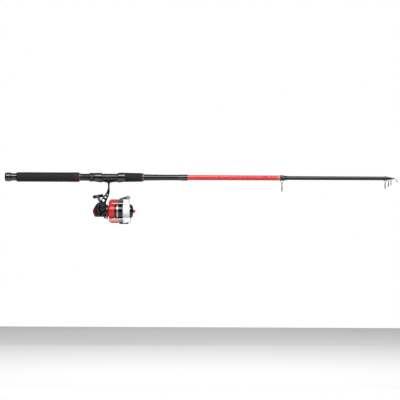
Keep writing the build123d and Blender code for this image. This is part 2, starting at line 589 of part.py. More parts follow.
def make_handle():
    kx, kz = knob_centre()
    lean = math.radians(CRANK_LEAN)
    side_x, side_z = math.cos(lean), math.sin(lean)
    outline = [(CRANK_X - 5.6 * side_x, CRANK_Z - 5.6 * side_z), (CRANK_X + 5.6 * side_x, CRANK_Z + 5.6 * side_z)]
    outline += [(kx + 3.9 * side_x, kz + 3.9 * side_z), (kx - 3.9 * side_x, kz - 3.9 * side_z)]
    # Seen end on, the arm leaves the hub square and then leans out past the rotor.
    hub_low, hub_high = ARM_Y - 2.4, ARM_Y + 2.4
    bend = [(-7, hub_low), (8.0, hub_low), (23.5, ARM_TIP_LOW), (49, ARM_TIP_LOW), (49, ARM_TIP_HIGH)]
    bend += [(21.45, ARM_TIP_HIGH), (5.95, hub_high), (-7, hub_high)]
    along_arm = Plane(origin=(CRANK_X, 0, CRANK_Z), x_dir=(-side_z, 0, side_x), z_dir=(-side_x, 0, -side_z))
    bent = extrude(along_arm * make_face(Polyline(*bend, close=True)), 12, both=True)
    arm = side_plate(outline, 15, 50) & bent
    arm += across(kx, kz, 4.9, ARM_TIP_LOW, ARM_TIP_HIGH + 1.2)
    arm += across(CRANK_X, CRANK_Z, 8.4, 19.5, ARM_Y + 3.4)
    arm -= across(CRANK_X, CRANK_Z, 3.8 + GLUE_LINE, 10, 40)
    save("handle_arm", arm + across(kx, kz, 2.0, ARM_TIP_LOW + 0.1, KNOB_Y + 4.0))

    cap = across(CRANK_X, CRANK_Z, 6.6, ARM_Y + 3.5, 31.2)
    cap = chamfer(cap.edges().filter_by(GeomType.CIRCLE).sort_by(Axis.Y)[-1], 1.2)
    save("handle_hub_cap", cap - across(CRANK_X, CRANK_Z, 3.8 + GLUE_LINE, 10, 30.05))

    near_cap = across(CRANK_X, CRANK_Z, 8.6, -22.2, -19.1)
    near_cap = chamfer(near_cap.edges().filter_by(GeomType.CIRCLE).sort_by(Axis.Y)[0], 1.4)
    for i in range(12):
        turn = math.radians(30 * i)
        near_cap -= across(CRANK_X + 9.0 * math.cos(turn), CRANK_Z + 9.0 * math.sin(turn), 0.9, -23, -20.4)
    save("bearing_cap", near_cap)

    neck = [(46.4, 5.2), (49.0, 5.6), (53.0, 4.6), (57.0, 5.0), (57.0, 0), (46.4, 0)]
    section = make_face(Polyline(*[(kx + r, y, kz) for y, r in neck], close=True))
    knob = revolve(section, Axis((kx, 0, kz), (0, 1, 0)), 360)
    grip = Box(36, 14, 11)
    grip = fillet(grip.edges(), 4.9)
    knob += Pos(kx + 1.5, KNOB_Y, kz + 0.3) * Rot(0, -9.5, 0) * grip
    knob -= across(kx, kz, 2.0 + RUN_FIT, 20, KNOB_Y + 4.4)
    save("handle_knob", knob)


make_butt()
make_grips()
make_reel_seat()
make_sections()
make_guides()
make_tip_top()
make_casing()
make_casing_trim()
make_gears()
make_shafts()
make_lever()
make_rotor()
make_bail()
make_spool()
make_drag_knob()
make_handle()
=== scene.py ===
import bpy
import bmesh
import math
from mathutils import Matrix, Vector


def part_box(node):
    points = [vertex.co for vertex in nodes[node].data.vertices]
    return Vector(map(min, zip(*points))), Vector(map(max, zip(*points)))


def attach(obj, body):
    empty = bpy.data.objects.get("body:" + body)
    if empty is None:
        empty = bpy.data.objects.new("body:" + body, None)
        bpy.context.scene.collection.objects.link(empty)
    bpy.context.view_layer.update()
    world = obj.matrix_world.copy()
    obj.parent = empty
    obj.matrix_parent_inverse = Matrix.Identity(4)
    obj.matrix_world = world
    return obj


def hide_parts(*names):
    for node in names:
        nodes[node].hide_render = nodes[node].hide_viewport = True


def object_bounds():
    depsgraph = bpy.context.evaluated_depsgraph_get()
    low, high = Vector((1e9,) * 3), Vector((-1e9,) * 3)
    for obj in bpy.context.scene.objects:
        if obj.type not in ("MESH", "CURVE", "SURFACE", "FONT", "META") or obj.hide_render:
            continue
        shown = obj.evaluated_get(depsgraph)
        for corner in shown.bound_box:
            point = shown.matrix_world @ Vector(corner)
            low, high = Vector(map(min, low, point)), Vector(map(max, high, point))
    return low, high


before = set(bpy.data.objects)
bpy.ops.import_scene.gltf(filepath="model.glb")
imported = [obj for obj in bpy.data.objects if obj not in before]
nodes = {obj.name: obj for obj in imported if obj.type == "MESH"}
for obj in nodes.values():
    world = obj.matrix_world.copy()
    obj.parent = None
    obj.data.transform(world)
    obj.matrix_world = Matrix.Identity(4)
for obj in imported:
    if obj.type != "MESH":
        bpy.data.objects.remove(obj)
cad_low, cad_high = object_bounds()
scene = bpy.context.scene


# ---- Studio ----
# White paper backdrop and floor, a long lens square to the rod, one broad soft box above
# and in front so that every round tube carries a light band along its upper side.
scene.view_settings.view_transform = "Standard"
lens_mm, sensor_mm = 200.0, 36.0
view_width = 1.32
view_centre = Vector((0.6442, 0.0, -0.0737))
camera_data = bpy.data.cameras.new("camera")
camera_data.lens, camera_data.sensor_width = lens_mm, sensor_mm
camera = bpy.data.objects.new("camera", camera_data)
camera.location = view_centre - Vector((0, view_width * lens_mm / sensor_mm, 0))
camera.rotation_euler = (math.radians(90), math.radians(-0.245), 0)
camera_data.clip_end = 60
scene.collection.objects.link(camera)
scene.camera = camera


def soft_box(name, place, aim, width, height, power):
    """Area lamp pointed at a place."""
    lamp = bpy.data.lights.new(name, "AREA")
    lamp.shape, lamp.size, lamp.size_y, lamp.energy = "RECTANGLE", width, height, power
    holder = bpy.data.objects.new(name, lamp)
    holder.location = place
    holder.rotation_euler = (Vector(aim) - Vector(place)).to_track_quat("-Z", "Y").to_euler()
    scene.collection.objects.link(holder)


middle = (0.65, 0, -0.05)
soft_box("overhead_box", (0.65, -1.55, 1.62), middle, 3.6, 1.15, 84)
soft_box("back_box", (0.65, 2.0, 1.6), middle, 3.0, 1.0, 12)

world = bpy.data.worlds.new("paper_backdrop")
world.use_nodes = True
sky = world.node_tree
sky.nodes["Background"].inputs["Color"].default_value = (1, 1, 1, 1)
sky.nodes["Background"].inputs["Strength"].default_value = 0.06
seen = sky.nodes.new("ShaderNodeBackground")
seen.inputs["Color"].default_value = (1, 1, 1, 1)
seen.inputs["Strength"].default_value = 1.0
light_path = sky.nodes.new("ShaderNodeLightPath")
either = sky.nodes.new("ShaderNodeMixShader")
sky.links.new(light_path.outputs["Is Camera Ray"], either.inputs[0])
sky.links.new(sky.nodes["Background"].outputs[0], either.inputs[1])
sky.links.new(seen.outputs[0], either.inputs[2])
sky.links.new(either.outputs[0], sky.nodes["World Output"].inputs["Surface"])
scene.world = world

floor_mesh = bpy.data.meshes.new("paper_floor")
floor_z = cad_low.z - 0.42
floor_mesh.from_pydata([(-1.6, -1.4, floor_z), (2.9, -1.4, floor_z), (2.9, 1.4, floor_z), (-1.6, 1.4, floor_z)],
                       [], [(0, 1, 2, 3)])
paper_floor = bpy.data.objects.new("paper_floor", floor_mesh)
scene.collection.objects.link(paper_floor)
paper = bpy.data.materials.new("white_paper")
paper.use_nodes = True
paper.node_tree.nodes["Principled BSDF"].inputs["Base Color"].default_value = (0.95, 0.95, 0.95, 1)
paper.node_tree.nodes["Principled BSDF"].inputs["Roughness"].default_value = 0.9
floor_mesh.materials.append(paper)


# ---- Butt blank ----
# The thickest tube of the rod: rolled glass fibre, ground, and dipped in black lacquer.
# It is cut square at the mouth, where the second section slides out.
def surface(name, colour, roughness, metallic=0.0, coat=0.0, grain=0.0, grain_size=400.0, spread=0.12,
            sheen=0.0):
    """Shader whose colour, roughness and fine relief vary a little over the piece, as real finishes do."""
    made = bpy.data.materials.new(name)
    made.use_nodes = True
    tree = made.node_tree
    shader = tree.nodes["Principled BSDF"]
    shader.inputs["Metallic"].default_value = metallic
    shader.inputs["Coat Weight"].default_value = coat
    shader.inputs["Coat Roughness"].default_value = 0.1
    shader.inputs["Sheen Weight"].default_value = sheen
    place = tree.nodes.new("ShaderNodeTexCoord")
    broad = tree.nodes.new("ShaderNodeTexNoise")
    broad.inputs["Scale"].default_value = grain_size / 8
    broad.inputs["Detail"].default_value = 4
    tree.links.new(place.outputs["Object"], broad.inputs["Vector"])
    tone = tree.nodes.new("ShaderNodeMix")
    tone.data_type = "RGBA"
    tone.inputs["A"].default_value = [c * (1 - spread) for c in colour] + [1]
    tone.inputs["B"].default_value = [min(1, c * (1 + spread)) for c in colour] + [1]
    tree.links.new(broad.outputs["Fac"], tone.inputs["Factor"])
    tree.links.new(tone.outputs["Result"], shader.inputs["Base Color"])
    rough = tree.nodes.new("ShaderNodeMapRange")
    rough.inputs["To Min"].default_value = roughness * 0.8
    rough.inputs["To Max"].default_value = min(1, roughness * 1.2)
    tree.links.new(broad.outputs["Fac"], rough.inputs["Value"])
    tree.links.new(rough.outputs["Result"], shader.inputs["Roughness"])
    if grain:
        fine = tree.nodes.new("ShaderNodeTexNoise")
        fine.inputs["Scale"].default_value = grain_size
        fine.inputs["Detail"].default_value = 6
        tree.links.new(place.outputs["Object"], fine.inputs["Vector"])
        relief = tree.nodes.new("ShaderNodeBump")
        relief.inputs["Strength"].default_value = grain
        relief.inputs["Distance"].default_value = 0.0002
        tree.links.new(fine.outputs["Fac"], relief.inputs["Height"])
        tree.links.new(relief.outputs["Normal"], shader.inputs["Normal"])
    return made


def fitted(piece, body, material, slot, *replaced):
    """Put a finished piece on the rod: it rides on a body, has its finish, and stands for CAD nodes."""
    scene.collection.objects.link(piece)
    piece.data.materials.append(material)
    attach(piece, body)
    if replaced:
        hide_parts(*replaced)
    return piece


def turned(name, outline, axis_z=0.0, steps=96, relief=None, round_over=0.0):
    """Closed mesh turned about a line parallel to X from (x, radius) corners, in metres.
    relief(x, turn) lifts the skin, and round_over eases every corner."""
    build = bmesh.new()
    rings = []
    for x, radius in outline:
        ring = []
        for i in range(steps):
            turn = 2 * math.pi * i / steps
            r = radius + (relief(x, turn) if relief and radius > 0 else 0)
            ring.append(build.verts.new((x, r * math.sin(turn), axis_z + r * math.cos(turn))))
        rings.append(ring)
    for near, far in zip(rings, rings[1:] + rings[:1]):
        for i in range(steps):
            j = (i + 1) % steps
            build.faces.new((near[i], near[j], far[j], far[i]))
    bmesh.ops.remove_doubles(build, verts=build.verts, dist=1e-6)
    bmesh.ops.recalc_face_normals(build, faces=build.faces)
    mesh = bpy.data.meshes.new(name)
    build.to_mesh(mesh)
    build.free()
    mesh.polygons.foreach_set("use_smooth", [True] * len(mesh.polygons))
    mesh.set_sharp_from_angle(angle=math.radians(28))
    piece = bpy.data.objects.new(name, mesh)
    if round_over:
        edge = piece.modifiers.new("eased_corners", "BEVEL")
        edge.width, edge.segments, edge.angle_limit = round_over, 3, math.radians(25)
        edge.harden_normals = True
    return piece


def eased(corners, gap):
    """The same outline with points added along its runs, no further apart than the gap."""
    points = []
    for (x0, r0), (x1, r1) in zip(corners, corners[1:]):
        parts = max(1, math.ceil(math.hypot(x1 - x0, r1 - r0) / gap))
        points += [(x0 + (x1 - x0) * i / parts, r0 + (r1 - r0) * i / parts) for i in range(parts)]
    return points + [corners[-1]]


mm = 0.001
lacquer_black = surface("lacquer_black", (0.004, 0.0036, 0.004), 0.26, coat=0.35, grain_size=90)
blank_low, blank_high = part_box("butt_blank")
blank_r, mouth_r, bore_r = 10.5 * mm, 9.3 * mm, 8.6 * mm
butt_outline = [(blank_low.x, bore_r), (blank_low.x, blank_r), (462 * mm, blank_r), (490 * mm, 10.02 * mm),
                (510 * mm, 9.62 * mm), (529 * mm, 9.36 * mm), (545 * mm, mouth_r), (blank_high.x, mouth_r),
                (blank_high.x, bore_r)]
butt_tube = turned("butt_tube", butt_outline, round_over=0.15 * mm)
fitted(butt_tube, "root", lacquer_black, "gloss_black", "butt_blank")


# ---- Butt collar and cap ----
# A moulded collar glued on the end of the blank, and a domed cap that closes it.
# Both are hard black plastic, polished by the mould.
cap_black = surface("cap_black", (0.004, 0.0038, 0.004), 0.16, coat=1.0, grain=0.02, grain_size=600)
cap_low, cap_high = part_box("butt_cap")
cap_r = cap_high.z
rim = 21 * mm
dome = [(0.0, 0.0), (0.0, cap_r - 6 * mm)]
for step in range(1, 10):
    sweep = math.radians(90 * step / 9)
    dome.append((6 * mm * (1 - math.cos(sweep)), cap_r - 6 * mm + 6 * mm * math.sin(sweep)))
dome += [(rim - 3 * mm, cap_r), (rim - 1.2 * mm, cap_r - 0.6 * mm), (rim, cap_r - 2.6 * mm), (rim, 8.5 * mm),
         (cap_high.x, 8.5 * mm), (cap_high.x, 0.0)]
fitted(turned("end_cap", dome, round_over=0.5 * mm), "butt_cap", cap_black, "gloss_black", "butt_cap")

neck_low, neck_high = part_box("butt_collar")
neck = [(neck_low.x, 10.55 * mm), (neck_low.x, 12.9 * mm), (23.2 * mm, 12.9 * mm), (24.5 * mm, 12.3 * mm),
        (28 * mm, 12.2 * mm), (34 * mm, 12.6 * mm), (neck_high.x, 12.6 * mm), (neck_high.x, 10.55 * mm)]
fitted(turned("end_collar", neck, round_over=0.3 * mm), "root", cap_black, "gloss_black", "butt_collar")


# ---- Foam grips and their trim rings ----
# Closed-cell foam sleeves, ground to shape with eased ends and pushed on over glue, each
# finished at its front by a dyed maroon end and a thin pinkish metal ring. The front sleeve has
# shallow finger grooves.
foam = surface("grip_foam", (0.0055, 0.005, 0.0052), 0.8, grain=0.75, grain_size=1500, spread=0.3)
foam_bore = 10.55 * mm


def foam_skin(x, turn):
    """The slight unevenness that grinding leaves in foam."""
    return 0.05 * mm * math.sin(x * 310 + 2 * turn) * math.sin(3 * turn + x * 95)


rear_low, rear_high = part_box("rear_grip")
rear_edge = [(rear_low.x, foam_bore), (rear_low.x, 13.2 * mm), (rear_low.x + 0.5 * mm, 14.2 * mm),
             (rear_low.x + 1.6 * mm, 15.1 * mm), (rear_low.x + 3.4 * mm, 15.6 * mm), (60 * mm, 15.65 * mm),
             (205 * mm, 15.65 * mm), (220 * mm, 15.85 * mm), (236 * mm, 15.98 * mm),
             (rear_high.x - 3.6 * mm, 15.8 * mm), (rear_high.x - 1.5 * mm, 15.2 * mm),
             (rear_high.x - 0.4 * mm, 14.4 * mm), (rear_high.x, 13.6 * mm), (rear_high.x, foam_bore)]
rear_sleeve = turned("rear_foam_grip", eased(rear_edge, 2.5 * mm), relief=foam_skin)
fitted(rear_sleeve, "root", foam, "foam_grip", "rear_grip")

dyed = foam.node_tree
dyed_shader = dyed.nodes["Principled BSDF"]
spot = dyed.nodes.new("ShaderNodeTexCoord")
apart = dyed.nodes.new("ShaderNodeSeparateXYZ")
dyed.links.new(spot.outputs["Object"], apart.inputs["Vector"])
bands = dyed.nodes.new("ShaderNodeValToRGB")
bands.color_ramp.interpolation = "CONSTANT"
reach = dyed.nodes.new("ShaderNodeMapRange")
reach.inputs["From Max"].default_value = 500 * mm
dyed.links.new(apart.outputs["X"], reach.inputs["Value"])
dyed.links.new(reach.outputs["Result"], bands.inputs["Fac"])
bands.color_ramp.elements[0].position, bands.color_ramp.elements[0].color = 0.0, (0, 0, 0, 1)
bands.color_ramp.elements[1].position, bands.color_ramp.elements[1].color = 0.457, (1, 1, 1, 1)
for place, tone in ((0.493, 0), (0.892, 1)):
    stop = bands.color_ramp.elements.new(place)
    stop.color = (tone, tone, tone, 1)
tinted = dyed.nodes.new("ShaderNodeMix")
tinted.data_type = "RGBA"
tinted.inputs["B"].default_value = (0.030, 0.007, 0.012, 1)
dyed.links.new(bands.outputs["Color"], tinted.inputs["Factor"])
dyed.links.new(dyed_shader.inputs["Base Color"].links[0].from_socket, tinted.inputs["A"])
dyed.links.new(tinted.outputs["Result"], dyed_shader.inputs["Base Color"])

fore_low, fore_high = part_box("fore_grip")
groove_at = [(409 + 9 * i) * mm for i in range(5)]


def fore_skin(x, turn):
    """Five finger grooves round the sleeve, over the ground foam."""
    depth = sum(0.55 * mm * math.exp(-((x - place) / (1.3 * mm)) ** 2) for place in groove_at)
    return foam_skin(x, turn) - depth


fore_edge = [(fore_low.x, foam_bore), (fore_low.x, 14.4 * mm), (fore_low.x + 1.2 * mm, 15.1 * mm),
             (fore_low.x + 4 * mm, 15.35 * mm), (430 * mm, 14.8 * mm), (450 * mm, 14.45 * mm),
             (fore_high.x - 2 * mm, 14.1 * mm), (fore_high.x - 0.6 * mm, 13.4 * mm), (fore_high.x, 12.4 * mm),
             (fore_high.x, foam_bore)]
fore_sleeve = turned("fore_foam_grip", eased(fore_edge, 0.7 * mm), relief=fore_skin)
fitted(fore_sleeve, "root", foam, "foam_grip", "fore_grip")

anodised_red = surface("anodised_red", (0.26, 0.15, 0.18), 0.28, metallic=0.7, coat=0.2, grain=0.05)
ring_low, ring_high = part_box("grip_trim_rings")


def trim_ring(name, start, end, outer):
    lip = 0.45 * mm
    edge = [(start, foam_bore), (start, outer - lip), (start + lip, outer), (end - lip, outer),
            (end, outer - lip), (end, foam_bore)]
    return turned(name, edge, round_over=0.12 * mm)


fitted(trim_ring("rear_trim_ring", ring_low.x, ring_low.x + 2.2 * mm, 13.4 * mm), "root", anodised_red,
       "red_trim", "grip_trim_rings")
fitted(trim_ring("fore_trim_ring", ring_high.x - 3.5 * mm, ring_high.x, 13.0 * mm), "root", anodised_red,
       "red_trim", "grip_trim_rings")


# ---- Reel seat ----
# A moulded nylon barrel with a screw thread, a knurled nut that runs on it, a hood that the nut
# pushes over the foot's rear end, and a hood fixed at the front that takes the other end.
seat_black = surface("seat_nylon", (0.006, 0.0058, 0.006), 0.3, coat=0.3, grain=0.1, grain_size=900)
hood_black = surface("hood_gloss", (0.004, 0.0038, 0.004), 0.2, coat=1.0, grain=0.02)
barrel_low, barrel_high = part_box("reel_seat_barrel")
barrel_r = 11.85 * mm
pitch = 2.0 * mm
thread_start, thread_end = 252 * mm, 320 * mm


def thread(x, turn):
    """A rounded thread, one start, that dies out at both ends."""
    fade = min(1, max(0, (x - thread_start) / pitch), max(0, (thread_end - x) / pitch))
    wave = 0.5 + 0.5 * math.cos(2 * math.pi * (x / pitch - turn / (2 * math.pi)))
    return -0.5 * mm * fade * wave ** 1.5


barrel_edge = [(thread_start - 3.4 * mm, barrel_r)]
barrel_edge += [(thread_start + 0.32 * mm * i, barrel_r) for i in range(214)]
barrel_edge = [(barrel_low.x, foam_bore), (barrel_low.x, barrel_r)] + barrel_edge[1:]
barrel_edge += [(barrel_high.x, barrel_r), (barrel_high.x, foam_bore)]
fitted(turned("threaded_barrel", barrel_edge, steps=72, relief=thread), "root", seat_black, "black_moulding",
       "reel_seat_barrel")

nut_low, nut_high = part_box("seat_nut")
nut_r = 14.4 * mm


def knurl(x, turn):
    """Crossed diagonal cuts round the nut's middle."""
    inside = min(1, max(0, (x - nut_low.x - 2.2 * mm) / mm), max(0, (nut_high.x - 2.2 * mm - x) / mm))
    along = (x - nut_low.x) / (1.9 * mm)
    around = turn * 36 / (2 * math.pi)
    cut_a = abs((along + around) % 1 - 0.5) * 2
    cut_b = abs((along - around) % 1 - 0.5) * 2
    return -0.45 * mm * inside * (1 - min(cut_a, cut_b)) ** 2


nut_edge = [(nut_low.x, 11.93 * mm), (nut_low.x, nut_r - 1.0 * mm), (nut_low.x + 1.0 * mm, nut_r)]
nut_edge += [(nut_low.x + 1.0 * mm + 0.3 * mm * i, nut_r) for i in range(1, 48)]
nut_edge += [(nut_high.x - 1.0 * mm, nut_r), (nut_high.x, nut_r - 1.0 * mm), (nut_high.x, 11.93 * mm)]
fitted(turned("knurled_nut", nut_edge, steps=288, relief=knurl), "seat_nut", seat_black, "black_moulding",
       "seat_nut")


def cast(node, name, body, material, slot, voxel=0.45 * mm, rounds=6, keep=1.0):
    """A moulded or die-cast piece: the CAD solid with every corner eased by its mould."""
    raw = bpy.data.objects.new(name, nodes[node].data.copy())
    scene.collection.objects.link(raw)
    raw.data.materials.clear()
    skin = raw.modifiers.new("skin", "REMESH")
    skin.mode, skin.voxel_size = "VOXEL", voxel
    ease = raw.modifiers.new("ease", "SMOOTH")
    ease.factor, ease.iterations = 0.5, rounds
    if keep < 1:
        thin = raw.modifiers.new("thin", "DECIMATE")
        thin.ratio = keep
    evaluated = raw.evaluated_get(bpy.context.evaluated_depsgraph_get())
    mesh = bpy.data.meshes.new_from_object(evaluated)
    bpy.data.objects.remove(raw)
    mesh.name = name
    mesh.polygons.foreach_set("use_smooth", [True] * len(mesh.polygons))
    piece = bpy.data.objects.new(name, mesh)
    return fitted(piece, body, material, slot, node)


cast("sliding_hood", "rear_hood", "sliding_hood", hood_black, "black_moulding", rounds=8)
cast("fixed_hood", "front_hood", "root", hood_black, "black_moulding", rounds=8)

# ---- Whipping at the butt's mouth ----
# Black thread is wound tight round the mouth of the butt blank to stop it splitting, and the
# turns are sealed under clear epoxy, thicker towards the front.
whip_low, whip_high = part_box("butt_end_ferrule")
thread_black = surface("whipping_thread", (0.014, 0.013, 0.015), 0.2, coat=0.9, grain=0.05, grain_size=1200)


def whipping(x, turn):
    """Turns of thread showing through their epoxy."""
    return 0.05 * mm * (0.5 + 0.5 * math.cos(2 * math.pi * x / (0.55 * mm) - turn)) - 0.05 * mm


whip_edge = [(whip_low.x, 9.34 * mm), (whip_low.x, 9.5 * mm), (574 * mm, 9.7 * mm), (580 * mm, 9.95 * mm),
             (590 * mm, 10.4 * mm), (600 * mm, 10.45 * mm), (602.4 * mm, 10.3 * mm), (whip_high.x, 9.8 * mm),
             (whip_high.x, 9.34 * mm)]
fitted(turned("mouth_whipping", eased(whip_edge, 0.14 * mm), relief=whipping), "root", thread_black,
       "gloss_black", "butt_end_ferrule")


# ---- Inner blanks ----
# Five tapered tubes that slide out of one another. The thickest is painted red under clear
# lacquer, its colour mixed paler near both ends; the rest are plain black.
red_lacquer = surface("lacquer_red", (0.66, 0.022, 0.03), 0.2, coat=0.45, grain_size=90)
paint = red_lacquer.node_tree
paint_shader = paint.nodes["Principled BSDF"]
along = paint.nodes.new("ShaderNodeTexCoord")
split = paint.nodes.new("ShaderNodeSeparateXYZ")
paint.links.new(along.outputs["Object"], split.inputs["Vector"])
ramp = paint.nodes.new("ShaderNodeValToRGB")
scale = paint.nodes.new("ShaderNodeMapRange")
scale.inputs["From Min"].default_value = 600 * mm
scale.inputs["From Max"].default_value = 910 * mm
paint.links.new(split.outputs["X"], scale.inputs["Value"])
paint.links.new(scale.outputs["Result"], ramp.inputs["Fac"])
ramp.color_ramp.elements[0].position, ramp.color_ramp.elements[0].color = 0.005, (0.30, 0.30, 0.30, 1)
ramp.color_ramp.elements[1].position, ramp.color_ramp.elements[1].color = 0.035, (0, 0, 0, 1)
for place, tone in ((0.955, 0.0), (0.975, 0.30), (1.0, 0.24)):
    stop = ramp.color_ramp.elements.new(place)
    stop.color = (tone, tone, tone, 1)
# A paler colour is mixed in near both ends of the red section.
paler = paint.nodes.new("ShaderNodeMix")
paler.data_type = "RGBA"
paler.inputs["B"].default_value = (0.74, 0.36, 0.36, 1)
paint.links.new(ramp.outputs["Color"], paler.inputs["Factor"])
paint.links.new(paint_shader.inputs["Base Color"].links[0].from_socket, paler.inputs["A"])
paint.links.new(paler.outputs["Result"], paint_shader.inputs["Base Color"])

for node, body, finish, slot, rear_r, front_r, bore in (
        ("blank_2", "section_2", red_lacquer, "red_blank", 8.45, 8.25, 6.75),
        ("blank_3", "section_3", lacquer_black, "gloss_black", 6.6, 6.2, 4.6),
        ("blank_4", "section_4", lacquer_black, "gloss_black", 4.48, 4.2, 3.1),
        ("blank_5", "section_5", lacquer_black, "gloss_black", 3.0, 2.55, 1.75),
        ("blank_tip", "tip_section", lacquer_black, "gloss_black", 1.65, 1.15, 0.0)):
    low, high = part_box(node)
    tube = [(low.x, bore * mm), (low.x, rear_r * mm), (low.x + 60 * mm, rear_r * mm), (high.x, front_r * mm),
            (high.x, bore * mm)]
    fitted(turned(node + "_tube", tube, round_over=0.12 * mm), body, finish, slot, node)


# ---- Line guides and their collars ----
# Each sliding guide is a hoop of stainless wire soldered to wire legs that end in a collar, with
# a polished ceramic ring pressed into the hoop. The collars jam on the ends of their sections.
def wire(name, points, radius, closed=False, sides=4):
    """Round wire bent smoothly through points, in metres."""
    curve = bpy.data.curves.new(name, "CURVE")
    curve.dimensions, curve.bevel_depth, curve.bevel_resolution = "3D", radius, sides
    curve.use_fill_caps = True
    run = curve.splines.new("NURBS")
    run.points.add(len(points) - 1)
    for point, place in zip(run.points, points):
        point.co = (*place, 1)
    run.order_u, run.use_endpoint_u, run.use_cyclic_u, run.resolution_u = 3, True, closed, 8
    raw = bpy.data.objects.new(name, curve)
    scene.collection.objects.link(raw)
    mesh = bpy.data.meshes.new_from_object(raw.evaluated_get(bpy.context.evaluated_depsgraph_get()))
    bpy.data.objects.remove(raw)
    mesh.name = name
    mesh.polygons.foreach_set("use_smooth", [True] * len(mesh.polygons))
    mesh.set_sharp_from_angle(angle=math.radians(40))
    return bpy.data.objects.new(name, mesh)


def joined(name, *parts):
    """One mesh out of several, for parts soldered or moulded in one."""
    build = bmesh.new()
    for part in parts:
        scene.collection.objects.link(part)
        done = part.evaluated_get(bpy.context.evaluated_depsgraph_get())
        build.from_mesh(bpy.data.meshes.new_from_object(done))
        bpy.data.objects.remove(part)
    mesh = bpy.data.meshes.new(name)
    build.to_mesh(mesh)
    build.free()
    return bpy.data.objects.new(name, mesh)


def hoop(name, x, centre_z, outer, inner, thick, steps=72):
    """Ring with a rounded section, square to the rod at x, in metres."""
    middle_r, half_r, half_x = (outer + inner) / 2, (outer - inner) / 2, thick / 2
    section = []
    for i in range(20):
        turn = 2 * math.pi * i / 20
        c, s = math.cos(turn), math.sin(turn)
        section.append((x + half_x * math.copysign(abs(c) ** 0.7, c),
                        middle_r + half_r * math.copysign(abs(s) ** 0.7, s)))
    return turned(name, section, axis_z=centre_z, steps=steps)


stainless = surface("guide_stainless", (0.26, 0.26, 0.27), 0.25, metallic=0.75, grain=0.04, grain_size=2500)
dark_plated = surface("guide_dark_plating", (0.05, 0.05, 0.055), 0.24, metallic=0.8, grain=0.04, grain_size=2500)
ceramic = surface("guide_ceramic", (0.05, 0.055, 0.055), 0.08, coat=0.8)
collar_black = surface("collar_black", (0.005, 0.0048, 0.0055), 0.2, coat=0.6, grain=0.04, grain_size=900)


def collar(name, start, end, outer, bore, swell=0.0):
    """Guide collar with a rolled lip at each end, in millimetres."""
    edge = [(start, bore), (start, outer - 0.5), (start + 0.5, outer), (start + 1.6, outer),
            (start + 2.0, outer - 0.25 + swell), ((start + end) / 2, outer - 0.1 + swell),
            (end - 2.0, outer - 0.25 + swell), (end - 1.6, outer), (end - 0.5, outer), (end, outer - 0.5), (end, bore)]
    return turned(name, [(x * mm, r * mm) for x, r in edge], round_over=0.15 * mm)


def guide_wires(name, x, top, bottom, legs, gauge, collar_r):
    """Hoop and its four legs, which run down on to the collar, in millimetres."""
    outer, centre_z = (bottom - top) / 2, -(top + bottom) / 2
    parts = [hoop(name + "_hoop", x * mm, centre_z * mm, outer * mm, (outer - gauge * 0.8) * mm, gauge * 1.6 * mm)]
    for leg in legs:
        for side in (-1, 1):
            lean = 1.0 if leg > x else -1.0
            path = [(leg + 0.6 * lean, side * gauge, -(collar_r - 0.1)), (leg, side * gauge, -(collar_r + 0.5)),
                    (leg - 0.5 * lean, side * gauge * 1.02, -(collar_r + 0.35 * (top - collar_r))),
                    (x + 0.4 * lean, side * gauge * 1.1, -(top - 0.3)), (x, side * gauge * 1.15, -(top + gauge * 0.7))]
            parts.append(wire(name + "_leg", [(px * mm, py * mm, pz * mm) for px, py, pz in path], gauge * 0.5 * mm))
    return parts


fitted(collar("guide_2_black_collar", 908, 920.8, 9.15, 8.3), "section_2", collar_black, "gloss_black",
       "guide_2_collar")
fitted(collar("guide_2_ferrule", 921.3, 930.8, 7.6, 6.85), "section_2", dark_plated, "gloss_black",
       "guide_2_collar")
fitted(joined("guide_2_wires", *guide_wires("guide_2", 914.4, 19.6, 45.4, (910.5, 918.5), 1.6, 9.15)),
       "section_2", stainless, "silver_trim", "guide_2_frame")
fitted(hoop("guide_2_ceramic", 914.4 * mm, -32.5 * mm, 11.57 * mm, 9.86 * mm, 3.2 * mm), "section_2", ceramic,
       "ceramic", "guide_2_ring")

fitted(collar("guide_3_black_collar", 1250, 1260.6, 7.1, 6.25), "section_3", collar_black, "gloss_black",
       "guide_3_collar")
fitted(joined("guide_3_wires", *guide_wires("guide_3", 1255, 13.0, 35.0, (1251.5, 1259.5), 1.3, 7.1)),
       "section_3", stainless, "silver_trim", "guide_3_frame")
fitted(hoop("guide_3_ceramic", 1255 * mm, -24 * mm, 9.9 * mm, 8.53 * mm, 2.6 * mm), "section_3", ceramic,
       "ceramic", "guide_3_ring")

fitted(joined("guide_4_wires", collar("guide_4_collar", 1261.2, 1271.6, 5.0, 4.25),
              *guide_wires("guide_4", 1265.7, 12.4, 28.2, (1263, 1270.3), 1.1, 4.8)),
       "section_4", dark_plated, "graphite_metal", "guide_4_frame")
fitted(hoop("guide_4_ceramic", 1265.7 * mm, -20.3 * mm, 6.97 * mm, 5.81 * mm, 2.2 * mm), "section_4", ceramic,
       "ceramic", "guide_4_ring")

fitted(joined("guide_5_wires", collar("guide_5_collar", 1272.2, 1278.6, 3.3, 2.65),
              *guide_wires("guide_5", 1274, 9.3, 22.4, (1273.2, 1277.6), 1.0, 3.1),
              hoop("guide_5_ceramic", 1274 * mm, -15.85 * mm, 6.0 * mm, 4.95 * mm, 2.0 * mm)),
       "section_5", dark_plated, "graphite_metal", "guide_5_frame")


# ---- Tip-top ----
# A short tube glued on the end of the tip, with two wire struts that carry a leaned ring.
# The ring is pressed in and polished pale by the line.
tip_x, tip_z, ring_lean = 1293.2 * mm, -8.4 * mm, math.atan2(-0.51, 0.86)


def leaned(piece):
    """Turn a ring made at the origin to the tip-top's lean and put it in place."""
    piece.data.transform(Matrix.Translation((tip_x, 0, tip_z)) @ Matrix.Rotation(ring_lean, 4, "Y"))
    return piece


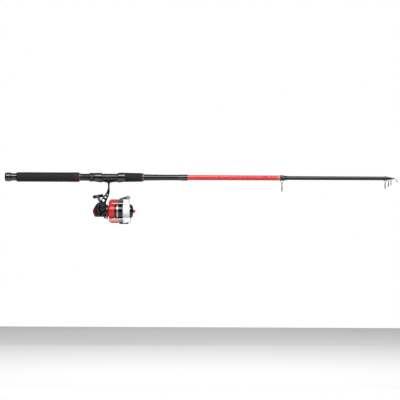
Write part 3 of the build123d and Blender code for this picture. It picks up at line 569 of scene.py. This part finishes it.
tip_socket = turned("tip_socket", [(1279.2 * mm, 1.25 * mm), (1279.2 * mm, 1.7 * mm), (1279.6 * mm, 1.9 * mm),
                                   (1285.6 * mm, 1.9 * mm), (1286 * mm, 1.7 * mm), (1286 * mm, 1.25 * mm)])
struts = [wire("tip_strut", [(1281.5 * mm, side * 1.6 * mm, -1.6 * mm), (1284.5 * mm, side * 1.65 * mm, -1.5 * mm),
                             (1287 * mm, side * 1.8 * mm, -1.7 * mm), (1291 * mm, side * 3.6 * mm, -5.4 * mm)],
               0.45 * mm) for side in (-1, 1)]
fitted(joined("tip_top_wires", tip_socket, leaned(hoop("tip_seat", 0, 0, 5.6 * mm, 4.8 * mm, 1.4 * mm)), *struts),
       "tip_section", dark_plated, "graphite_metal", "tip_top_frame")
fitted(leaned(hoop("tip_polished_ring", 0, 0, 4.75 * mm, 3.7 * mm, 1.8 * mm)), "tip_section", stainless,
       "silver_trim", "tip_top_ring")


# ---- Reel casing ----
# The foot, stem and gear case are one graphite-filled nylon moulding. A near cover closes the
# case with three screws, a painted cap closes its rear, and dull chrome crescents on both sides are a painted
# highlight for the light streak along the case's top.
case_black = surface("case_nylon", (0.002, 0.0018, 0.0019), 0.26, coat=0.15, grain=0.03, grain_size=700)
cover_black = surface("cover_nylon", (0.003, 0.0026, 0.0028), 0.28, coat=0.15, grain=0.04, grain_size=700)
maroon = surface("maroon_enamel", (0.105, 0.005, 0.013), 0.16, coat=0.8, grain=0.02)
crescent_chrome_highlight = surface("crescent_chrome_highlight", (0.17, 0.165, 0.16), 0.3, metallic=0.9, grain=0.05, grain_size=1500)
graphite = surface("graphite_paint", (0.055, 0.055, 0.058), 0.26, metallic=0.7, coat=0.3, grain=0.06, grain_size=1500)
cast("reel_housing", "stem_and_case", "root", case_black, "black_moulding", voxel=0.5 * mm, rounds=5)
cast("side_cover", "near_cover", "root", cover_black, "black_moulding", voxel=0.4 * mm, rounds=3)
cast("rear_cap", "rear_cover", "root", maroon, "dark_red_paint", voxel=0.4 * mm, rounds=4)
# The flange's dark red enamel is darkened nearly to black: painted shade in the gap between case and rotor.
flange_red_and_shade = surface("flange_enamel_painted_shade", (0.045, 0.0015, 0.002), 0.2, coat=0.5, grain=0.02)
cast("front_flange", "maroon_flange", "root", flange_red_and_shade, "dark_red_paint", voxel=0.35 * mm, rounds=3)
# The crescents' dull chrome is a painted highlight: it stands for the light streak along the case's top.
cast("side_trim", "highlight_crescents", "root", crescent_chrome_highlight, "silver_trim", voxel=0.2 * mm, rounds=2)
cast("bearing_cap", "near_bearing_cap", "root", graphite, "graphite_metal", voxel=0.25 * mm, rounds=3)
cast("anti_reverse_lever", "reverse_lever", "anti_reverse_lever", case_black, "black_moulding",
     voxel=0.3 * mm, rounds=4)
machined = surface("machined_steel", (0.5, 0.5, 0.51), 0.28, metallic=1.0, grain=0.1, grain_size=3000)


def wear(material, *names):
    """Give CAD pieces that are machined as drawn their finish."""
    for name in names:
        nodes[name].data.materials.clear()
        nodes[name].data.materials.append(material)


wear(machined, "body_screws")


# ---- Gear train, bearings and shafts ----
# A zinc face gear on the crank spindle turns the brass pinion, and a small spur pair under it
# turns the wheel whose pin drives the slider. Everything runs greased inside the case.
zinc = surface("zinc_casting", (0.5, 0.5, 0.49), 0.4, metallic=1.0, grain=0.2, grain_size=1800)
brass = surface("machined_brass", (0.62, 0.42, 0.16), 0.25, metallic=1.0, grain=0.08, grain_size=2500)
felt = surface("greased_felt", (0.2, 0.17, 0.13), 0.7, grain=0.6, grain_size=3000, sheen=0.3)
wear(zinc, "drive_gear", "oscillation_gear")
wear(brass, "pinion_gear", "oscillation_slider", "rotor_nut")
wear(machined, "main_shaft", "ball_bearings", "one_way_clutch", "bail_spring")
wear(felt, "drag_washers")


# ---- Rotor ----
# A die-cast cup with two arms in bright red enamel, coloured darker towards the arms' front ends.
# Thin darker covers are clipped on the outside of the arms over the bail spring.
rotor_enamel = surface("rotor_enamel", (0.66, 0.016, 0.022), 0.3, coat=0.25, grain=0.02)
shade = rotor_enamel.node_tree
shade_shader = shade.nodes["Principled BSDF"]
point = shade.nodes.new("ShaderNodeTexCoord")
parted = shade.nodes.new("ShaderNodeSeparateXYZ")
shade.links.new(point.outputs["Object"], parted.inputs["Vector"])
forward = shade.nodes.new("ShaderNodeMapRange")
forward.inputs["From Min"].default_value, forward.inputs["From Max"].default_value = 371 * mm, 379 * mm
shade.links.new(parted.outputs["X"], forward.inputs["Value"])
# A darker red is mixed in towards the arms' front ends.
deeper = shade.nodes.new("ShaderNodeMix")
deeper.data_type = "RGBA"
deeper.inputs["B"].default_value = (0.085, 0.008, 0.012, 1)
shade.links.new(forward.outputs["Result"], deeper.inputs["Factor"])
shade.links.new(shade_shader.inputs["Base Color"].links[0].from_socket, deeper.inputs["A"])
shade.links.new(deeper.outputs["Result"], shade_shader.inputs["Base Color"])
cast("rotor", "rotor_casting", "rotor", rotor_enamel, "red_paint", voxel=0.5 * mm, rounds=4)
cover_enamel = surface("arm_cover_enamel", (0.30, 0.012, 0.020), 0.32, coat=0.15, grain=0.03)
cast("rotor_arm_covers", "arm_covers", "rotor", cover_enamel, "dark_red_paint", voxel=0.25 * mm, rounds=3)


# ---- Bail and line roller ----
# A cast arm on the upper rotor arm carries the roller between its cheek and a domed cup; the
# steel wire runs from the cup round the spool to a lever on the lower rotor arm.
bail_x, axis_z = 384 * mm, -111.6 * mm
roller_x, roller_z = 407 * mm, -66.9 * mm
silver_enamel = surface("bail_silver", (0.30, 0.30, 0.31), 0.25, metallic=0.8, coat=0.3, grain=0.05, grain_size=1800)
# Polished steel with a pale, part-diffuse colour: a painted reflection of the white surroundings on the wire, roller
# and screw.
polished = surface("polished_steel_and_painted_reflection", (0.70, 0.70, 0.70), 0.2, metallic=0.6, grain=0.02, grain_size=3000)


def across(name, outline, x, z, steps=72, **options):
    """The same turned mesh, but about a line parallel to Y; the outline is (y, radius)."""
    piece = turned(name, outline, steps=steps, **options)
    piece.data.transform(Matrix.Translation((x, 0, z)) @ Matrix.Rotation(math.radians(90), 4, "Z"))
    return piece


cast("bail_arm", "bail_cheek", "bail", silver_enamel, "graphite_metal", voxel=0.22 * mm, rounds=5)
cast("bail_lever", "lower_lever", "bail", graphite, "graphite_metal", voxel=0.25 * mm, rounds=5)
cup = across("roller_cup", [(2.7 * mm, 0.0), (2.7 * mm, 6.1 * mm), (2.9 * mm, 6.3 * mm), (4.3 * mm, 6.25 * mm),
                            (5.3 * mm, 5.6 * mm), (5.8 * mm, 4.6 * mm), (5.9 * mm, 3.0 * mm), (5.9 * mm, 0.0)],
             roller_x, roller_z)


def bail_point(reach, swing, z):
    """Point of the bail wire from its distance and angle about the pivot line, in millimetres and degrees."""
    angle = math.radians(swing)
    return (bail_x + reach * mm * math.cos(angle), reach * mm * math.sin(angle), z * mm)


route = [(407.5 * mm, 4.6 * mm, roller_z - 0.2 * mm), bail_point(26, 25, -70), bail_point(36, 46, -77),
         bail_point(47, 57, -85), bail_point(56, 58.5, -92), bail_point(60, 60, -102), bail_point(60.5, 60, -112),
         bail_point(60, 60, -122), bail_point(55, 57, -134), bail_point(46, 50.5, -142), bail_point(37, 38, -147.5),
         bail_point(29, 16, -150.1), (404.6 * mm, 0.6 * mm, -150.4 * mm)]
fitted(joined("bail_wire_and_cup", cup, wire("bent_wire", route, 1.0 * mm)), "bail", polished, "steel", "bail_wire")

roller = [(-2.4 * mm, 1.6 * mm), (-2.4 * mm, 4.7 * mm), (-2.1 * mm, 4.9 * mm), (-1.3 * mm, 3.9 * mm), (-0.5 * mm, 3.7 * mm),
          (0.5 * mm, 3.7 * mm), (1.3 * mm, 3.9 * mm), (2.1 * mm, 4.9 * mm), (2.4 * mm, 4.7 * mm), (2.4 * mm, 1.6 * mm)]
fitted(across("line_roller_ring", roller, roller_x, roller_z), "line_roller", polished, "steel", "line_roller")
cast("roller_screw", "roller_screw_head", "bail", polished, "silver_trim", voxel=0.14 * mm, rounds=2)


# ---- Spool and wound line ----
# An anodised alloy spool with a plated band round its skirt. Clear nylon line is wound on it in
# close slanting turns, a little fuller in the middle.
anodised = surface("spool_anodising", (0.003, 0.0026, 0.003), 0.2, coat=0.35)
spool_outline = [(363.5, 22.4), (363.5, 23.7), (364, 24.5), (364.8, 24.8), (369.1, 24.8), (369.3, 24.6),
                 (369.3, 23.4), (375.2, 23.4), (375.2, 24.4), (375.5, 24.6), (389.0, 24.6), (389.7, 24.3), (390, 23.8),
                 (390, 13.0), (412.6, 13.0), (412.6, 22.0), (412.9, 22.6), (413.6, 22.9), (415.2, 22.85),
                 (417, 22.4), (419.4, 21.1), (421.2, 19.3), (422.2, 17.6), (422.6, 16.3), (422.6, 11.9), (422.3, 11.7),
                 (411.8, 11.7), (411.8, 2.6), (380, 2.6), (380, 6.0), (386.5, 6.0), (386.5, 22.4)]
fitted(turned("spool_shell", [(x * mm, r * mm) for x, r in spool_outline], axis_z=axis_z, steps=144), "spool",
       anodised, "spool_metal", "spool")

band_chrome = surface("band_chrome", (0.46, 0.48, 0.47), 0.3, metallic=0.8, grain=0.02, grain_size=2500)
band = [(369.4, 23.45), (369.4, 24.75), (369.6, 24.9), (371.6, 24.9), (371.8, 24.8), (372.7, 24.8), (372.9, 24.9),
        (374.9, 24.9), (375.1, 24.75), (375.1, 23.45)]
fitted(turned("skirt_band", [(x * mm, r * mm) for x, r in band], axis_z=axis_z, steps=144), "spool", band_chrome,
       "silver_trim", "spool_band")

nylon = surface("nylon_line", (0.90, 0.93, 0.94), 0.3, coat=0.3, grain=0.04, grain_size=3000, spread=0.05)


def turns(x, turn):
    """Strands of line lying side by side, slanting a little."""
    strand = math.cos(2 * math.pi * x / (0.62 * mm) - 3 * turn)
    return 0.11 * mm * strand - 0.11 * mm


wound = [(390.1, 13.1), (390.1, 21.9), (395, 22.15), (401, 22.3), (407, 22.2), (412.5, 21.9), (412.5, 13.1)]
fitted(turned("wound_line", eased([(x * mm, r * mm) for x, r in wound], 0.1 * mm), axis_z=axis_z, steps=128,
              relief=turns), "spool", nylon, "white_line", "line_winding")


# ---- Drag knob ----
# A ribbed black disc in the spool's nose with a red cross bar to turn it by. It screws on the
# main shaft and squeezes the drag washers.
def ribs(x, turn):
    """Fine ribs round the disc."""
    return -0.25 * mm * (0.5 + 0.5 * math.cos(60 * turn)) if x < 422 * mm else 0.0


disc = [(417.9, 2.6), (417.9, 11.0), (418.2, 11.2), (421.6, 11.2), (422.4, 10.8), (424.1, 9.0), (424.6, 6.0),
        (424.6, 0.0), (421.8, 0.0), (421.8, 2.6)]
fitted(turned("drag_disc", [(x * mm, r * mm) for x, r in disc], axis_z=axis_z, steps=360, relief=ribs), "drag_knob",
       cover_black, "black_moulding", "drag_knob")
bar_enamel = surface("drag_bar_red", (0.52, 0.016, 0.026), 0.2, coat=0.6)
cast("drag_knob_grip", "drag_bar", "drag_knob", bar_enamel, "red_paint", voxel=0.25 * mm, rounds=5)


# ---- Handle ----
# A die-cast arm screwed on the drive gear's spindle, bent outwards to clear the rotor, with a
# soft rubber T-knob that spins on a steel pin.
arm_grey = surface("crank_grey", (0.26, 0.26, 0.26), 0.35, metallic=0.4, grain=0.1, grain_size=1500)
rubber = surface("knob_rubber", (0.012, 0.0115, 0.012), 0.55, grain=0.35, grain_size=1600, sheen=0.1)
cast("handle_arm", "crank_arm", "crank", arm_grey, "crank_metal", voxel=0.35 * mm, rounds=4)
cast("handle_hub_cap", "hub_cap", "crank", graphite, "graphite_metal", voxel=0.25 * mm, rounds=3)
cast("handle_knob", "t_knob", "handle_knob", rubber, "knob_rubber", voxel=0.4 * mm, rounds=8)
